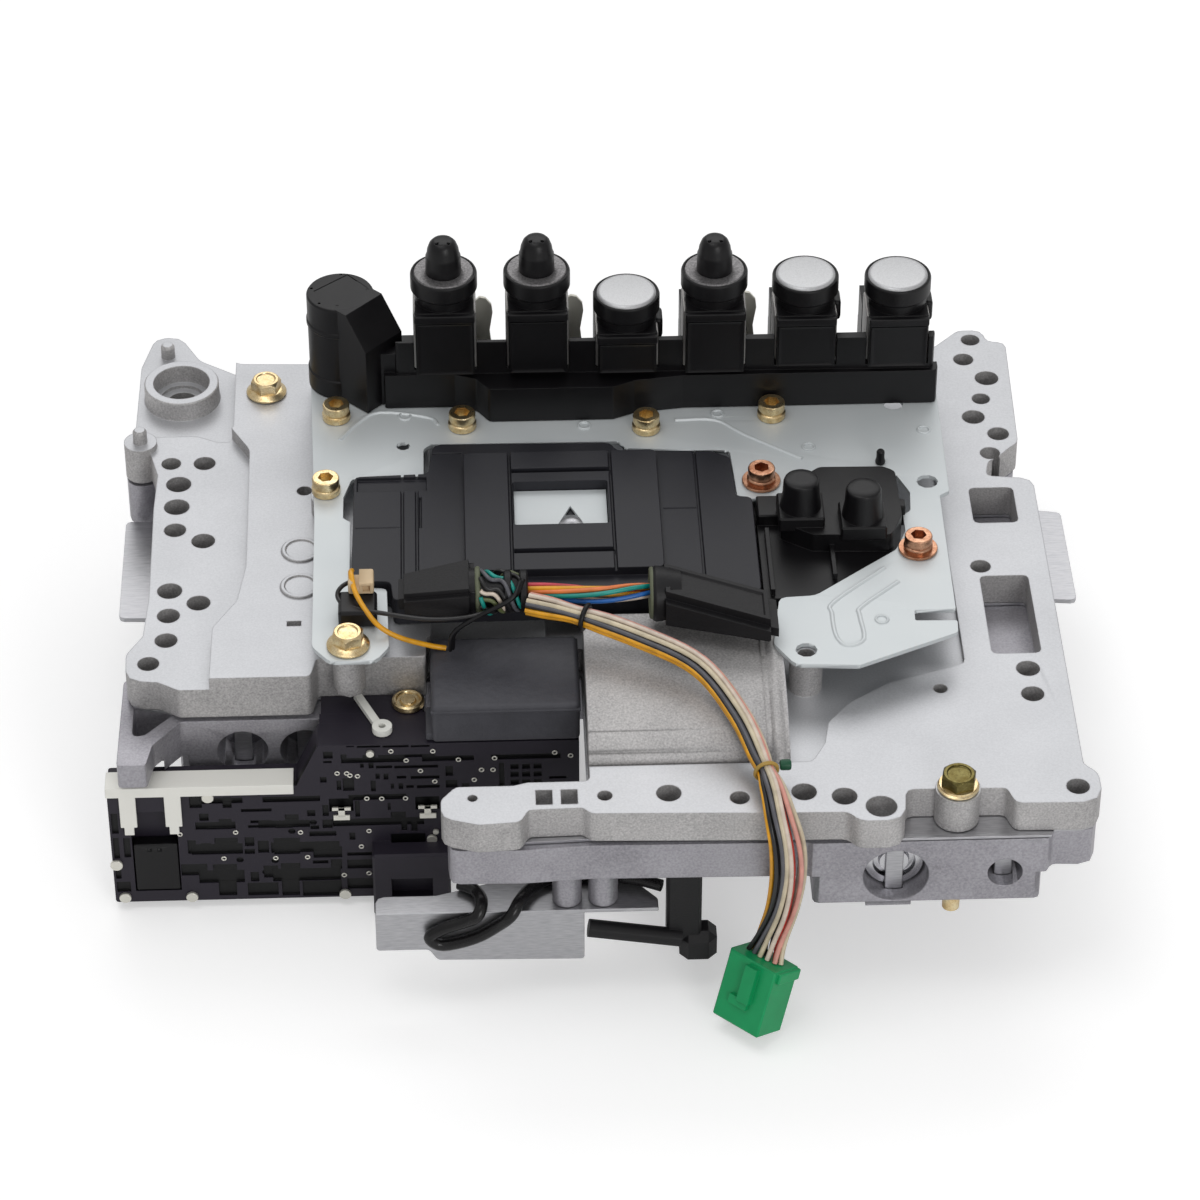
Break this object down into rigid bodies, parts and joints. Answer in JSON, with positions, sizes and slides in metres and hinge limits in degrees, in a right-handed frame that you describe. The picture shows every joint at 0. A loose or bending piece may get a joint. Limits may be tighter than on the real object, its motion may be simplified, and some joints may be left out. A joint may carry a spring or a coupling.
{
  "type": "automatic transmission valve body",
  "caption": "Aluminium valve body of an automatic transmission with its control unit, solenoid bank, position switch, speed sensor and wiring plug.",
  "frame": {"origin": "middle of the machined centre pad of the lower casting, on the face that meets the transmission case", "axes": "+Z away from the case, through the castings to the solenoids; +X along the row of solenoids, towards the windowed edge; +Y from the harness side to the solenoid side"},
  "size_m": [0.3499, 0.3121, 0.168],
  "materials": {
    "machined_aluminium": "milled faces with a fine cast grain",
    "cast_aluminium": "die cast, sand grey, machined at its bores",
    "plug_aluminium": "turned",
    "plate_steel": "rolled sheet",
    "zinc_plated_steel": "bright zinc plating",
    "spool_steel": "ground",
    "yellow_zinc": "yellow passivated steel",
    "olive_zinc": "dark olive passivated steel",
    "solenoid_steel": "pressed, satin",
    "black_plastic": "glass-filled nylon",
    "black_rubber": "soft moulded",
    "wire_insulation": "bundle of coloured wires",
    "green_plastic": "moulded nylon",
    "white_plastic": "moulded"
  },
  "bodies": {
    "valve_body": {"branch_wires": "wire_insulation", "brass_bolt": "yellow_zinc", "case_connector": "black_plastic", "control_unit": "black_plastic", "cover_link": "white_plastic", "flange_bolt_front": "yellow_zinc", "flange_bolt_rear": "yellow_zinc", "green_connector": "green_plastic", "harness": "wire_insulation", "harness_cover": "black_plastic", "hex_bolt": "olive_zinc", "left_boot": "black_rubber", "lower_casting": "cast_aluminium", "mounting_bracket": "zinc_plated_steel", "pilot_retainer": "spool_steel", "position_switch": "black_plastic", "regulator_plug": "plug_aluminium", "regulator_retainer": "spool_steel", "regulator_spring": "spool_steel", "revolution_sensor": "black_plastic", "right_boot": "black_rubber", "sensor_bracket": "plate_steel", "sensor_cable": "black_rubber", "separator_plate": "plate_steel", "shift_retainer_1": "spool_steel", "shift_retainer_2": "spool_steel", "socket_screw_1": "yellow_zinc", "socket_screw_2": "yellow_zinc", "socket_screw_3": "yellow_zinc", "socket_screw_4": "yellow_zinc", "socket_screw_5": "yellow_zinc", "socket_screw_6": "yellow_zinc", "socket_screw_7": "yellow_zinc", "solenoid_1": "black_plastic", "solenoid_2": "black_plastic", "solenoid_3": "black_plastic", "solenoid_4": "black_plastic", "solenoid_5": "black_plastic", "solenoid_6": "black_plastic", "solenoid_clip": "zinc_plated_steel", "solenoid_disc_3": "solenoid_steel", "solenoid_disc_5": "solenoid_steel", "solenoid_disc_6": "solenoid_steel", "solenoid_housing": "black_plastic", "solenoid_ring_1": "solenoid_steel", "solenoid_ring_2": "solenoid_steel", "solenoid_ring_4": "solenoid_steel", "support_plate": "plate_steel", "switch_rail": "plate_steel", "temperature_sensor": "black_plastic", "terminal_block": "black_plastic", "unit_window_plate": "zinc_plated_steel", "upper_casting": "machined_aluminium"},
    "manual_spool": {"manual_valve": "spool_steel"},
    "slider": {"switch_slider": "black_plastic"},
    "regulator_spool": {"regulator_valve": "spool_steel"},
    "pilot_spool": {"pilot_valve": "spool_steel"},
    "shift_spool_1": {"shift_valve_1": "spool_steel"},
    "shift_spool_2": {"shift_valve_2": "spool_steel"}
  },
  "joints": [
    {"name": "manual_valve_slide", "type": "slide", "parent": "valve_body", "child": "manual_spool", "axis": [1, 0, 0], "range_m": [0, 0.028]},
    {"name": "switch_slider_slide", "type": "slide", "parent": "valve_body", "child": "slider", "axis": [0, 0, 1], "range_m": [0, 0.014]},
    {"name": "regulator_valve_slide", "type": "slide", "parent": "valve_body", "child": "regulator_spool", "axis": [0, -1, 0], "range_m": [0, 0.005], "stiffness_N_per_m": 1500, "springref_m": -0.005, "deforming": ["regulator_spring"]},
    {"name": "pilot_valve_slide", "type": "slide", "parent": "valve_body", "child": "pilot_spool", "axis": [0, -1, 0], "range_m": [0, 0.004]},
    {"name": "shift_valve_1_slide", "type": "slide", "parent": "valve_body", "child": "shift_spool_1", "axis": [0, -1, 0], "range_m": [0, 0.005]},
    {"name": "shift_valve_2_slide", "type": "slide", "parent": "valve_body", "child": "shift_spool_2", "axis": [0, -1, 0], "range_m": [0, 0.005]}
  ]
}
